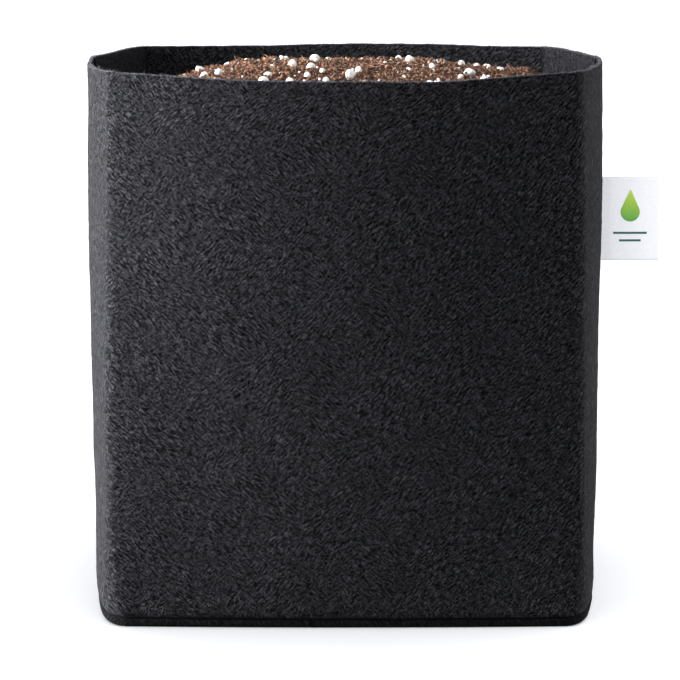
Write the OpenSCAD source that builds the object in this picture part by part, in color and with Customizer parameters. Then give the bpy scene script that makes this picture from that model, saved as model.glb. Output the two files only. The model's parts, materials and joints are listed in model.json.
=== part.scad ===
// Square fabric grow bag. Two felt wall panels meet in seams at the middle of the left and
// right sides, and a felt base closes the foot. A folded ribbon label is caught in the right
// seam. The bag holds a mounded block of coir growing mix with perlite, which lifts out.
//
// Millimetres. +X is the bag's right, +Y its back and +Z up. The origin is the middle of the
// base's underside.

/* [Bag] */
// Width from corner fold to corner fold
bag_w = 254; // [200:2:320]
// Depth from corner fold to corner fold
bag_d = 254; // [200:2:320]
// Height of the rim at the corner folds
bag_h = 305; // [240:5:380]
// Thickness of the needle-punched felt
felt_t = 2.5; // [1.5:0.5:3]
// How far the front and back stand out at the rim
front_bulge = 26; // [10:1:34]
// How far the front and back stand out at the foot
front_bulge_low = 3; // [1:1:8]
// How far the sides stand out at the rim
side_bulge = 21; // [10:1:30]
// How far the sides stand out at the foot
side_bulge_low = 13; // [8:0.5:20]
// How far each corner fold leans out to the left or right at the foot
foot_spread = 4.5; // [0:0.5:8]
// How far the middle of the front rim sags below the corner folds
rim_sag = 4; // [0:0.5:8]
// Width of each pressed corner fold
fold_w = 6; // [3:1:10]

/* [Seams] */
// Width of felt turned inwards at every seam
allowance = 10; // [8:1:14]
// Distance between needle holes
stitch_pitch = 4; // [3:0.5:6]
// Diameter of the sewing thread
thread_d = 0.8; // [0.6:0.1:1.2]
// How far the wall tucks in over the base seam
foot_tuck = 1; // [1:0.5:6]
// Height over which the wall tucks in
foot_round = 12; // [8:2:32]

/* [Label] */
// Length of ribbon that shows outside the seam
label_w = 35; // [20:1:45]
// Width of the ribbon, which stands upright
label_h = 49; // [25:1:60]
// Distance from the rim down to the label
label_drop = 69; // [30:1:120]
// Thickness of the ribbon
ribbon_t = 0.4; // [0.3:0.1:0.6]
// Thickness of the printed ink
ink_t = 0.15; // [0.1:0.05:0.3]

/* [Growing mix] */
// Depth of the mix below the rim where it meets the walls
mix_drop = 25; // [20:1:60]
// Height of the mound above the mix at the walls
mound_h = 20; // [5:1:20]
// Most perlite grains on the surface
perlite_count = 90; // [20:5:120]
// Most loose coir fibres
fibre_count = 26; // [5:1:40]
// Most husk chips
chip_count = 18; // [5:1:30]

/* [Hidden] */

half_w = bag_w / 2;
half_d = bag_d / 2;
// The base and its folded hem are two felt thicknesses, and the walls start on top of them.
foot_z = 2 * felt_t;
// The seam allowance of the walls lies on the hem, so the mix starts above it.
allowance_top = foot_z + felt_t;
hem_inset = foot_tuck + allowance;
// The mix stands this far clear of the felt, so that it lifts out.
mix_gap = 0.8;
// Share of the stitch pitch between one stitch and the next
stitch_gap = 0.25;
// The label bends this far outside the seam, clear of the wall at both ends of its swing.
label_clear = 1;
front_cols = 16;
side_cols = 6;
foot_rows = 5;
wall_rows = 8;
mound_rings = 8;

felt_colour = "#2b2c30";
thread_colour = "#1c1c1f";
ribbon_colour = "#eef0f2";

// ---- Outline of the bag, seen from above ----

// Share of the wall's height at z, from 0 at the foot to 1 at the rim
function rise(z) = min(1, max(0, (z - foot_z) / (bag_h - foot_z)));

// How far a wall stands out at z, between its values at the foot and the rim
function bulge(low, high, z) = low + (high - low) * pow(rise(z), 0.7);

// How far the wall tucks in at z, above the base seam
function tuck(z) = foot_tuck * pow(max(0, 1 - (z - foot_z) / foot_round), 2);

// How far the left and right corner folds lean out at z
function lean(z) = foot_spread * (1 - rise(z));

// Half the width between the corner folds at z
function half_width(z) = half_w + lean(z);

// A point of the front wall. s runs from -1 at the left corner fold to 1 at the right one.
function front_point(s, z, inset, sag) =
    [s * (half_width(z) - inset),
     -(half_d - inset) - bulge(front_bulge_low, front_bulge, z) * (1 - s * s),
     z - sag * rise(z) * (1 - s * s)];

// A point of the front half of a side wall. s runs from 0 at the seam to 1 at the corner fold.
function side_point(hand, s, z, inset) =
    [hand * (half_width(z) - inset + bulge(side_bulge_low, side_bulge, z) * (1 - s * s)),
     -s * (half_d - inset),
     z];

// The outermost point of a corner fold, halfway between its flat and the sharp corner
function fold_point(hand, z, inset) =
    let (near_front = front_point(hand * fold_s, z, inset, 0),
         near_side = side_point(hand, fold_s, z, inset),
         corner = [hand * (half_width(z) - inset), -(half_d - inset), z])
    (near_front + near_side) / 4 + corner / 2;

fold_s = 1 - fold_w / half_w;

// The front half of the outline, from the left seam round the front to the right seam
function half_outline(z, inset, sag = 0, seam_s = 0) =
    concat(
        [for (k = [0:side_cols]) side_point(-1, seam_s + (fold_s - seam_s) * k / side_cols, z, inset)],
        [fold_point(-1, z, inset)],
        [for (k = [0:front_cols]) front_point(fold_s * (2 * k / front_cols - 1), z, inset, sag)],
        [fold_point(1, z, inset)],
        [for (k = [side_cols:-1:0]) side_point(1, seam_s + (fold_s - seam_s) * k / side_cols, z, inset)]);

function behind(p) = [p.x, -p.y, p.z];

function reversed(list) = [for (k = [len(list) - 1:-1:0]) list[k]];

function middle_of(list) = [for (k = [1:len(list) - 2]) list[k]];

// The whole outline. The two seam points are shared by both halves, so the back drops its own.
function full_outline(z, inset) =
    let (front = half_outline(z, inset))
    concat(front, middle_of(reversed([for (p = front) behind(p)])));

function flat_xy(points) = [for (p = points) [p.x, p.y]];

// X of the felt's outer face along the right seam
function seam_x(z) = side_point(1, 0, z, tuck(z)).x;

// ---- Solids from grids of points ----

function joined(lists) = [for (list = lists) for (item = list) item];

// Two triangles for the corners a, b, c and d, clockwise from outside
function quad(a, b, c, d) = [[a, b, c], [a, c, d]];

// A closed sheet between two grids of the same size, whose rows rise and whose columns run
// anticlockwise seen from above.
module thick_sheet(outer, inner) {
    last_row = len(outer) - 1;
    last_col = len(outer[0]) - 1;
    inner_start = len(outer) * len(outer[0]);
    function o(row, col) = row * (last_col + 1) + col;
    function i(row, col) = inner_start + o(row, col);
    faces = concat(
        joined([for (r = [0:last_row - 1], c = [0:last_col - 1]) concat(
            quad(o(r, c), o(r + 1, c), o(r + 1, c + 1), o(r, c + 1)),
            quad(i(r, c), i(r, c + 1), i(r + 1, c + 1), i(r + 1, c)))]),
        joined([for (c = [0:last_col - 1]) concat(
            quad(o(0, c), o(0, c + 1), i(0, c + 1), i(0, c)),
            quad(o(last_row, c + 1), o(last_row, c), i(last_row, c), i(last_row, c + 1)))]),
        joined([for (r = [0:last_row - 1]) concat(
            quad(o(r + 1, 0), o(r, 0), i(r, 0), i(r + 1, 0)),
            quad(o(r, last_col), o(r + 1, last_col), i(r + 1, last_col), i(r, last_col)))]));
    polyhedron(points = concat(joined(outer), joined(inner)), faces = faces, convexity = 6);
}

// A closed solid through loops of points that rise from bottom to top, capped to a middle point
module stacked_loops(loops, bottom, top) {
    n = len(loops[0]);
    last = len(loops) - 1;
    function at(loop, k) = loop * n + k % n;
    bottom_index = n * len(loops);
    faces = concat(
        joined([for (l = [0:last - 1], k = [0:n - 1])
            quad(at(l, k), at(l + 1, k), at(l + 1, k + 1), at(l, k + 1))]),
        [for (k = [0:n - 1]) [at(0, k), at(0, k + 1), bottom_index]],
        [for (k = [0:n - 1]) [at(last, k + 1), at(last, k), bottom_index + 1]]);
    polyhedron(points = concat(joined(loops), [bottom, top]), faces = faces, convexity = 6);
}

// A round rod from a to b
module rod(a, b, d) {
    v = b - a;
    translate(a) rotate([0, acos(v.z / norm(v)), atan2(v.y, v.x)]) cylinder(h = norm(v), d = d, $fn = 16);
}

// ---- Felt panels ----

// Heights of the wall's grid rows: close together where the foot tucks in, then evenly spaced
function row_heights(start) = concat(
    [for (k = [0:foot_rows]) start + (foot_z + foot_round - start) * pow(k / foot_rows, 1.5)],
    [for (k = [1:wall_rows]) foot_z + foot_round + (bag_h - foot_z - foot_round) * k / wall_rows]);

// One wall panel: the front, the front halves of both sides, and the allowance turned in over
// the base's hem
module wall(sag) {
    outer = concat(
        [half_outline(foot_z, hem_inset)],
        [for (z = row_heights(foot_z)) half_outline(z, tuck(z), sag)]);
    inner = concat(
        [half_outline(allowance_top, hem_inset)],
        [for (z = row_heights(allowance_top)) half_outline(z, tuck(z) + felt_t, sag)]);
    thick_sheet(outer, inner);
}

// The wall's upright edge turned inwards at a side seam
module side_allowance(hand) {
    heights = row_heights(allowance_top + 1);
    outline = concat(
        [for (z = heights) [seam_x(z) - felt_t / 2, z]],
        [for (z = reversed(heights)) [seam_x(z) - allowance, z]]);
    mirror([hand < 0 ? 1 : 0, 0, 0])
        rotate([90, 0, 0])
            linear_extrude(felt_t) polygon(outline);
}

module front_panel() {
    color(felt_colour) union() {
        wall(rim_sag);
        side_allowance(-1);
        side_allowance(1);
    }
}

module back_panel() {
    color(felt_colour) mirror([0, 1, 0]) union() {
        wall(0);
        side_allowance(-1);
        side_allowance(1);
    }
}

// The base with its edge folded back on itself as a hem
module base_panel() {
    color(felt_colour) union() {
        linear_extrude(felt_t) polygon(flat_xy(full_outline(foot_z, foot_tuck)));
        translate([0, 0, felt_t]) linear_extrude(felt_t) difference() {
            polygon(flat_xy(full_outline(foot_z, foot_tuck)));
            polygon(flat_xy(full_outline(foot_z, hem_inset)));
        }
    }
}

// ---- Stitching ----

// Stitches along a straight line from a to b, half sunk in the felt
module stitch_row(a, b) {
    count = max(1, round(norm(b - a) / stitch_pitch));
    step = (b - a) / count;
    for (k = [0:count - 1])
        rod(a + step * (k + stitch_gap / 2), a + step * (k + 1 - stitch_gap / 2), thread_d);
}

// The thread of a side seam shows on both faces of the two allowances.
module side_stitching(hand) {
    x = hand * (seam_x(bag_h / 2) - allowance / 2);
    color(thread_colour)
        for (side = [-1, 1])
            stitch_row([x, side * felt_t, allowance_top + 4], [x, side * felt_t, bag_h - 4]);
}

module left_seam_stitching() {
    side_stitching(-1);
}

module right_seam_stitching() {
    side_stitching(1);
}

// The thread that holds the walls' allowance to the base's hem shows on top of the allowance.
module base_seam_stitching() {
    line = full_outline(foot_z, foot_tuck + allowance / 2);
    count = len(line);
    lift = [0, 0, felt_t];
    color(thread_colour)
        for (k = [0:count - 1])
            stitch_row(line[k] + lift, line[(k + 1) % count] + lift);
}

// ---- Label ----

label_top = bag_h - label_drop;
label_bottom = label_top - label_h;
// The label bends about this upright line, just outside the seam.
hinge_x = max(seam_x(label_top), seam_x(label_bottom)) + label_clear;
// Half the thickness of the folded ribbon, which holds a small gap between its two layers
label_half_t = ribbon_t * 1.5;

// The folded ribbon outside the seam, with its fold at the free end
module label_ribbon() {
    straight = label_w - label_half_t - 0.3;
    color(ribbon_colour) translate([hinge_x + 0.3, 0, label_bottom]) linear_extrude(label_h) difference() {
        union() {
            translate([0, -label_half_t]) square([straight, 2 * label_half_t]);
            translate([straight, 0]) circle(r = label_half_t, $fn = 32);
        }
        translate([-1, -ribbon_t / 2]) square([straight + 1, ribbon_t]);
        translate([straight, 0]) circle(r = ribbon_t / 2, $fn = 32);
    }
}

// The two ribbon ends caught between the allowances of the right seam
module label_tail() {
    start_x = seam_x(label_top) - allowance + 1;
    color(ribbon_colour)
        translate([start_x, -ribbon_t, label_bottom])
            cube([hinge_x - label_clear - start_x, 2 * ribbon_t, label_h]);
}

// Places a flat drawing on the label's front face. Its origin is the middle of the label.
module on_label() {
    translate([hinge_x + label_w / 2, -label_half_t, label_bottom + label_h / 2])
        rotate([90, 0, 0])
            linear_extrude(ink_t) children();
}

// A water drop: a round foot, and a point above it
module label_drop_print() {
    drop_r = label_w * 0.16;
    tip = drop_r * 2.4;
    touch = acos(drop_r / tip);
    color("#7ab648") on_label() translate([0, label_h * 0.08]) union() {
        circle(r = drop_r, $fn = 96);
        polygon([[0, tip],
                 [-drop_r * sin(touch), drop_r * cos(touch)],
                 [drop_r * sin(touch), drop_r * cos(touch)]]);
    }
}

// Two plain lines under the drop
module label_line_print() {
    line_t = label_h * 0.025;
    color("#2f5d4a") on_label()
        for (k = [0, 1])
            translate([0, -label_h * (0.17 + 0.09 * k)])
                square([label_w * (0.56 - 0.2 * k), line_t], center = true);
}

// ---- Growing mix ----

// Half of the outline of the mix at z. At both seams a slot as deep as slot_x leaves room for
// the allowances.
function mix_half(z, inset, slot_x) =
    let (slot_s = slot_half_w / (half_d - inset),
         end_x = side_point(1, slot_s, z, inset).x - slot_x)
    concat(
        [[-end_x, -slot_half_w, z]],
        half_outline(z, inset, 0, slot_s),
        [[end_x, -slot_half_w, z]]);

function mix_outline(z, inset, slot_x = slot_depth) =
    let (front = mix_half(z, inset, slot_x))
    concat(front, reversed([for (p = front) behind(p)]));

slot_half_w = felt_t + thread_d + mix_gap;
slot_depth = allowance + mix_gap - felt_t;
mix_foot_z = allowance_top + mix_gap;
mix_edge_z = bag_h - mix_drop;
mix_wall_gap = felt_t + mix_gap;
mix_edge_inset = mix_wall_gap + lean(mix_edge_z);

// A point of the mound's surface. share runs from 0 in the middle to 1 at the walls.
function mound_point(edge, share) =
    [edge.x * share, edge.y * share, mix_edge_z + mound_h * (1 - share * share)];

// The block of coir mix, with its foot inside the hem and its top heaped in the middle. It
// doesn't lean out with the walls, because it has to pass the rim when it is lifted.
module growing_mix() {
    heights = [for (z = row_heights(mix_foot_z)) if (z < mix_edge_z - 10) z];
    plug = hem_inset + mix_gap;
    mound_edge = mix_outline(mix_edge_z, mix_edge_inset, -0.2);
    loops = concat(
        [mix_outline(felt_t + mix_gap / 2, plug), mix_outline(mix_foot_z - 0.01, plug)],
        [for (z = heights) mix_outline(z, tuck(z - mix_gap) + lean(z) + mix_wall_gap)],
        [mix_outline(mix_edge_z, mix_edge_inset)],
        [for (k = [mound_rings - 1:-1:1]) [for (p = mound_edge) mound_point(p, k / mound_rings)]]);
    color("#5b3a28") stacked_loops(loops,
        bottom = [0, 0, felt_t + mix_gap / 2],
        top = [0, 0, mix_edge_z + mound_h]);
}

// Where loose pieces lie on the mound: each has a direction and a distance from the middle.
// reach is the share of the way to the walls that they keep within.
function spread(count, reach, seed) =
    let (edge = full_outline(mix_edge_z, mix_edge_inset),
         turns = rands(0, len(edge), count, seed),
         shares = rands(0.02, 1, count, seed + 1))
    [for (k = [0:count - 1]) mound_point(edge[floor(turns[k])], reach * sqrt(shares[k]))];

// The pieces that lie clear of every piece before them, so that no two of them touch
function clear_ones(places, radii) =
    [for (k = [0:len(places) - 1])
        if (len([for (j = [0:1:k - 1]) if (norm(places[k] - places[j]) < radii[k] + radii[j]) j]) == 0) k];

// White grains of expanded perlite, half sunk in the mix
module perlite_grains() {
    places = spread(perlite_count, 0.88, 11);
    radii = rands(1.1, 3.1, perlite_count, 13);
    color("#f1efea")
        for (k = clear_ones(places, [for (r = radii) r + 0.3]))
            translate(places[k]) sphere(r = radii[k], $fn = 24);
}

// Stiff strands of coir that stand out of the mix
module coir_fibres() {
    places = spread(fibre_count, 0.8, 21);
    turns = rands(0, 360, fibre_count, 23);
    tilts = rands(35, 80, fibre_count, 24);
    lengths = rands(5, 11, fibre_count, 25);
    color("#8a6040")
        for (k = clear_ones(places, lengths / 2))
            translate(places[k] - [0, 0, 1])
                rotate([0, tilts[k], turns[k]]) cylinder(h = lengths[k], d = 0.5, $fn = 16);
}

// Chips of coconut husk, lying at all angles
module husk_chips() {
    places = spread(chip_count, 0.88, 31);
    turns = rands(0, 360, chip_count * 2, 33);
    sizes = rands(3, 8, chip_count * 2, 34);
    color("#6d452c")
        for (k = clear_ones(places, [for (size = sizes) size]))
            translate(places[k])
                rotate([turns[k] / 12, 0, turns[chip_count + k]])
                    cube([sizes[k], sizes[chip_count + k] / 2, 2], center = true);
}

front_panel();
back_panel();
base_panel();
left_seam_stitching();
right_seam_stitching();
base_seam_stitching();
label_ribbon();
label_tail();
label_drop_print();
label_line_print();
growing_mix();
perlite_grains();
coir_fibres();
husk_chips();
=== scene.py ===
"""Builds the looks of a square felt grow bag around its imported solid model.

The bag is three pieces of black needle-punched felt, sewn with black thread: a front panel and a
back panel that meet at the middle of both sides, and a base. A folded satin label is caught in
the right seam. The bag is filled with coir growing mix and perlite.
"""

import itertools
import json
import math

import bmesh
import bpy
import numpy as np
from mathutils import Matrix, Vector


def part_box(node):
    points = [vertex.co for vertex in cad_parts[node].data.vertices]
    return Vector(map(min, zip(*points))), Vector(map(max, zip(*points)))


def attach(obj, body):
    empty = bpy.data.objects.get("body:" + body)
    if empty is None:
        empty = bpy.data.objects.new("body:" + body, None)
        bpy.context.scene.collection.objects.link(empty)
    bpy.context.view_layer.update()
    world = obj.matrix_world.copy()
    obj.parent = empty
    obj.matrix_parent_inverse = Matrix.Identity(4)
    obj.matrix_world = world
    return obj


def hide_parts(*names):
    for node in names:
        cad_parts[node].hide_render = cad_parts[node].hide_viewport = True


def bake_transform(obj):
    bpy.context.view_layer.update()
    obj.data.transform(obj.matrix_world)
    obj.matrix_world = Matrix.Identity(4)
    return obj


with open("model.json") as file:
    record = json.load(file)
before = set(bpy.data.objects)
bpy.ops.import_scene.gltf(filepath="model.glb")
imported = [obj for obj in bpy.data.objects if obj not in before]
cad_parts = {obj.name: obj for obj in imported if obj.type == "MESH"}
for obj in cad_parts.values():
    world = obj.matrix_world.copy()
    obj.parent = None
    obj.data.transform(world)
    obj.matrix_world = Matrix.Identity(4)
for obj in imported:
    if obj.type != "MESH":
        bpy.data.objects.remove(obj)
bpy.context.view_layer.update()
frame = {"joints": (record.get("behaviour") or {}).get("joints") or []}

bl_info = {
    "name": "Felt Grow Bag",
    "version": (1, 0, 0),
    "blender": (4, 5, 0),
    "location": "View3D > Sidebar > Grow Bag",
    "description": "Builds a square felt grow bag filled with coir mix",
    "category": "Object",
}

MM = 0.001

# ---- Places that the solid model gives ----

WALL_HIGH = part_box("front_panel")[1]
BASE_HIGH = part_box("base_panel")[1]
MIX_LOW, MIX_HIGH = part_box("growing_mix")
LABEL_LOW, LABEL_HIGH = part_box("label_ribbon")
TAIL_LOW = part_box("label_tail")[0]
DROP_LOW, DROP_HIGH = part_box("label_drop_print")
LINE_LOW, LINE_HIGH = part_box("label_line_print")
SIDE_STITCH_LOW, SIDE_STITCH_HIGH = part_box("right_seam_stitching")
HINGE_X = next(j for j in frame["joints"] if j["name"] == "label_swing")["pos_m"][0]

RIM_Z = WALL_HIGH.z
FOOT_Z = BASE_HIGH.z
SHEET_UV = "sheet"


def linear(hex_colour):
    """A colour as sRGB hex, turned into linear red, green and blue."""
    parts = [int(hex_colour[k : k + 2], 16) / 255 for k in (1, 3, 5)]
    return tuple(p / 12.92 if p <= 0.04045 else ((p + 0.055) / 1.055) ** 2.4 for p in parts)


# ---- Sizes and colours that a user may change ----


def length(label, text, default, low=0.0, high=0.5):
    return bpy.props.FloatProperty(
        name=label, description=text, default=default, min=low, max=high, unit="LENGTH", precision=4
    )


def colour(label, text, default):
    return bpy.props.FloatVectorProperty(
        name=label, description=text, default=linear(default), size=3, min=0, max=1, subtype="COLOR"
    )


class GrowBagSizes(bpy.types.PropertyGroup):
    corner_width: length("Corner width", "Distance between the corner folds", 0.254)
    foot_spread: length("Foot spread", "How far a corner fold leans out at the foot", 0.0045)
    felt: length("Felt", "Thickness of the needle-punched felt", 0.0025)
    front_bulge: length("Front bulge", "How far the front and back stand out at the rim", 0.026)
    front_bulge_low: length("Front bulge, low", "How far the front stands out at the foot", 0.003)
    side_bulge: length("Side bulge", "How far the sides stand out at the rim", 0.0205)
    side_bulge_low: length("Side bulge, low", "How far the sides stand out at the foot", 0.0128)
    rim_sag: length("Rim sag", "How far the middle of the front rim hangs down", 0.004)
    fold: length("Fold", "Half the width of a pressed corner fold", 0.0036)
    foot_corner: length("Foot corner", "Half the width of a corner fold at the foot", 0.009)
    allowance: length("Allowance", "Width of felt turned in at every seam", 0.010)
    foot_tuck: length("Foot tuck", "How far the wall tucks in over the base seam", 0.0006)
    foot_round: length("Foot round", "Height over which the wall tucks in", 0.012)
    thread: length("Thread", "Diameter of the sewing thread", 0.0008)
    stitch: length("Stitch", "Length of one stitch", 0.004)
    ribbon: length("Ribbon", "Thickness of the label's ribbon", 0.0003)
    mix_drop: length("Mix drop", "Depth of the mix below the rim, at the walls", 0.025)


class GrowBagColours(bpy.types.PropertyGroup):
    # The felt's mass colour is near black: it stands for the pits between the tufts, darkened as painted
    # shade.
    felt: colour("Felt", "The mass of the black felt", "#020203")
    # The cut edge is lighter partly for its frayed fibres and partly as a painted highlight of the lit
    # rim.
    felt_cut_and_highlight: colour("Felt, cut", "The frayed cut edge along the rim", "#3a3a3f")
    felt_fibre: colour("Felt fibre", "Single fibres on the felt's surface", "#242427")
    # The base's fibres are pressed flat, and darkened further as painted shade of the tucked-under base.
    base_fibre_and_shade: colour("Base fibre", "Fibres of the base, pressed flat and darkened as painted shade", "#0b0b0d")
    thread: colour("Thread", "The black sewing thread", "#141416")
    ribbon: colour("Ribbon", "The white satin label", "#eeeff1")
    drop_light: colour("Drop, light", "The tip of the printed drop", "#b5d23a")
    drop_dark: colour("Drop, dark", "The foot of the printed drop", "#4f9a3c")
    line: colour("Line", "The printed lines", "#1f5a4c")
    # Dark wet coir on the loose pieces; in the packed block it is also the colour of the gaps between
    # crumbs, as painted shade.
    coir_wet_and_gap_shade: colour("Coir, dark", "Gaps between the crumbs of coir", "#150b07")
    coir: colour("Coir", "Crumbs of coir", "#5a3d2c")
    coir_light: colour("Coir, light", "Dry flecks of coir", "#906a50")
    perlite: colour("Perlite", "Expanded perlite", "#c6c4c0")
    perlite_dust: colour("Perlite dust", "Coir dust in the pits of the perlite", "#cbb9a4")
    paper: colour("Paper", "The floor of the stage", "#f8f8f8")


def sizes():
    return bpy.context.scene.grow_bag_sizes


def colours():
    return bpy.context.scene.grow_bag_colours


# ---- Noise ----


def cell_hash(cells, seed):
    """A number from 0 to 1 for each whole-numbered cell."""
    mixed = cells[..., 0] * 73856093 ^ cells[..., 1] * 19349663 ^ cells[..., 2] * 83492791
    mixed = (mixed ^ (seed * 40503 + 12289)) & 0xFFFFFFFF
    for _ in range(2):
        mixed = ((mixed ^ (mixed >> 15)) * 0x2C1B3C6D) & 0xFFFFFFFF
    mixed = mixed ^ (mixed >> 13)
    return (mixed & 0xFFFF) / 65535


def lumps(points, size, seed=0):
    """Smooth noise from -1 to 1 at each point, with lumps about size metres across."""
    scaled = np.asarray(points) / size + 512
    cell = np.floor(scaled).astype(np.int64)
    part = scaled - cell
    part = part * part * (3 - 2 * part)
    total = 0
    for corner in itertools.product((0, 1), repeat=3):
        share = np.where(np.array(corner) == 1, part, 1 - part).prod(axis=-1)
        total = total + share * (2 * cell_hash(cell + corner, seed) - 1)
    return total


def crumbs(points, size, seed=0):
    """Rounded crumbs about size metres across: 1 in the middle of each, and 0 between them."""
    scaled = np.asarray(points) / size + 512
    cell = np.floor(scaled).astype(np.int64)
    nearest = np.full(scaled.shape[:-1], 9.0)
    for step in itertools.product((-1, 0, 1), repeat=3):
        other = cell + step
        middle = np.stack([cell_hash(other, seed + k) for k in range(3)], axis=-1) + other
        nearest = np.minimum(nearest, np.linalg.norm(scaled - middle, axis=-1))
    return np.clip(1 - nearest**2, 0, 1)


# ---- Meshes ----


def unit(vectors):
    return vectors / np.maximum(np.linalg.norm(vectors, axis=-1, keepdims=True), 1e-12)


def make_piece(name, points, faces, material, uv=None, shade=None, smooth=None):
    """A mesh object. uv holds one pair for each point, and shade one number. smooth is how many
    of the first faces are shaded smooth: all of them, if it is left out."""
    mesh = bpy.data.meshes.new(name)
    mesh.from_pydata(np.asarray(points).reshape(-1, 3).tolist(), [], faces)
    if mesh.validate():
        raise RuntimeError(f"{name} has faulty faces")
    if uv is not None:
        corners = np.empty(len(mesh.loops), np.int32)
        mesh.loops.foreach_get("vertex_index", corners)
        layer = mesh.uv_layers.new(name=SHEET_UV)
        layer.data.foreach_set("uv", np.asarray(uv, np.float32).reshape(-1, 2)[corners].ravel())
    if shade is not None:
        layer = mesh.attributes.new("shade", "FLOAT", "POINT")
        layer.data.foreach_set("value", np.asarray(shade, np.float32).ravel())
    smooth = len(faces) if smooth is None else smooth
    mesh.polygons.foreach_set("use_smooth", [k < smooth for k in range(len(faces))])
    mesh.materials.append(material)
    piece = bpy.data.objects.new(name, mesh)
    bpy.context.scene.collection.objects.link(piece)
    return piece


def grid_quads(rows, cols, keep=None, ring=False):
    """The quads of a grid of points, as an array. keep is true for the cells that are wanted."""
    row, col = np.meshgrid(np.arange(rows - 1), np.arange(cols if ring else cols - 1), indexing="ij")
    if keep is not None:
        row, col = row[keep], col[keep]
    row, col = row.ravel(), col.ravel()
    low, high, after = row * cols, (row + 1) * cols, (col + 1) % cols
    return np.stack([low + col, low + after, high + after, high + col], axis=1)


def grid_normals(points, ring=False):
    """Unit normals of a grid of points whose columns run anticlockwise and whose rows rise."""
    if ring:
        along = np.roll(points, -1, axis=1) - np.roll(points, 1, axis=1)
    else:
        along = np.gradient(points, axis=1)
    return unit(np.cross(along, np.gradient(points, axis=0)))


def make_sheet(name, middle, thickness, material, uv, keep=None, ring=False, cap=False):
    """A closed sheet of cloth around a grid of middle points. Its last row is marked to take the
    cut edge's colour, which on the walls is lighter partly as a painted highlight, and cap
    closes its first row."""
    rows, cols = middle.shape[:2]
    normals = grid_normals(middle, ring)
    half = np.broadcast_to(np.asarray(thickness) / 2, (rows, cols))[..., None]
    points = np.concatenate([middle + normals * half, middle - normals * half]).reshape(-1, 3)
    count = rows * cols
    outer = grid_quads(rows, cols, keep, ring)
    faces = outer.tolist() + (outer[:, ::-1] + count).tolist()
    if cap:
        faces += [list(range(cols))[::-1], [count + k for k in range(cols)]]
    smooth = len(faces)
    edges = {(q[k], q[(k + 1) % 4]) for q in outer.tolist() for k in range(4)}
    for a, b in sorted(edges):
        if (b, a) not in edges and not (cap and a < cols and b < cols):
            faces.append([b, a, a + count, b + count])
    used = sorted({k for face in faces for k in face})
    place = {old: new for new, old in enumerate(used)}
    faces = [[place[k] for k in face] for face in faces]
    uv = np.concatenate([uv, uv]).reshape(-1, 2)
    shade = np.zeros((2, rows, cols))
    shade[:, -1] = 1
    shade = shade.ravel()
    return make_piece(name, points[used], faces, material, uv[used], shade[used], smooth)


def make_strands(name, paths, radius, material, sides=3, shade=None):
    """Closed thin tubes. paths holds each strand's points, and every strand has as many."""
    paths = np.asarray(paths, float)
    count, length_of = paths.shape[:2]
    along = unit(np.gradient(paths, axis=1))
    across = unit(np.cross(along, np.array([0.31, 0.17, 0.93])))
    other = np.cross(along, across)
    angles = np.arange(sides) * 2 * math.pi / sides
    radius = np.broadcast_to(np.asarray(radius, float).reshape(-1, 1, 1, 1), (count, 1, 1, 1))
    ring = across[:, :, None] * np.cos(angles)[:, None] + other[:, :, None] * np.sin(angles)[:, None]
    rings = (paths[:, 1:-1, None] + ring[:, 1:-1] * radius).reshape(count, -1, 3)
    points = np.concatenate([rings, paths[:, :1], paths[:, -1:]], axis=1)
    per_strand = points.shape[1]
    body = grid_quads(length_of - 2, sides, ring=True).tolist()
    last = (length_of - 3) * sides
    ends = [[(k + 1) % sides, k, per_strand - 2] for k in range(sides)]
    ends += [[last + k, last + (k + 1) % sides, per_strand - 1] for k in range(sides)]
    faces = []
    for start in range(0, count * per_strand, per_strand):
        faces += [[start + k for k in face] for face in body + ends]
    if shade is not None:
        shade = np.repeat(shade, per_strand)
    return make_piece(name, points, faces, material, shade=shade)


def make_lumps(name, centres, radii, material, rounds, roughness, seed, shade=None):
    """Irregular closed lumps. radii holds three half sizes for each, and rounds sets how finely
    each is divided."""
    ball = bmesh.new()
    bmesh.ops.create_icosphere(ball, subdivisions=rounds, radius=1)
    corners = np.array([v.co for v in ball.verts])
    triangles = [[v.index for v in face.verts] for face in ball.faces]
    ball.free()
    draw = np.random.default_rng(seed)
    count = len(centres)
    turn = np.linalg.qr(draw.normal(size=(count, 3, 3)))[0]
    turn *= np.sign(np.linalg.det(turn))[:, None, None]
    place = corners[None] + draw.uniform(0, 40, (count, 1, 3))
    swell = 1 + roughness * lumps(place, 0.9, seed) + 0.5 * roughness * lumps(place, 0.4, seed + 1)
    local = corners[None] * swell[..., None] * np.asarray(radii)[:, None]
    points = np.einsum("nij,nkj->nki", turn, local) + np.asarray(centres)[:, None]
    faces = []
    for start in range(0, count * len(corners), len(corners)):
        faces += [[start + k for k in face] for face in triangles]
    if shade is not None:
        shade = np.repeat(shade, len(corners))
    return make_piece(name, points, faces, material, shade=shade)


# ---- The bag's outline, seen from above ----


def rise(z):
    """Share of the wall's height, from 0 at the base seam to 1 at the rim."""
    return np.clip((z - FOOT_Z) / (RIM_Z - FOOT_Z), 0, 1)


def tuck(z):
    """How far the wall is drawn in towards the base seam at heights z."""
    s = sizes()
    return s.foot_tuck * np.maximum(0, 1 - (z - FOOT_Z) / s.foot_round) ** 2


def wall_shape(z, inset):
    """Half width, half depth, front bulge and side bulge of the bag at heights z. inset is
    measured in from the felt's outer face."""
    s = sizes()
    half = s.corner_width / 2
    share = rise(z) ** 0.7
    width = half + s.foot_spread * (1 - rise(z)) - tuck(z) - inset
    depth = half - tuck(z) - inset
    front = s.front_bulge_low + (s.front_bulge - s.front_bulge_low) * share
    side = s.side_bulge_low + (s.side_bulge - s.side_bulge_low) * share
    return width, depth, front, side


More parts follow.
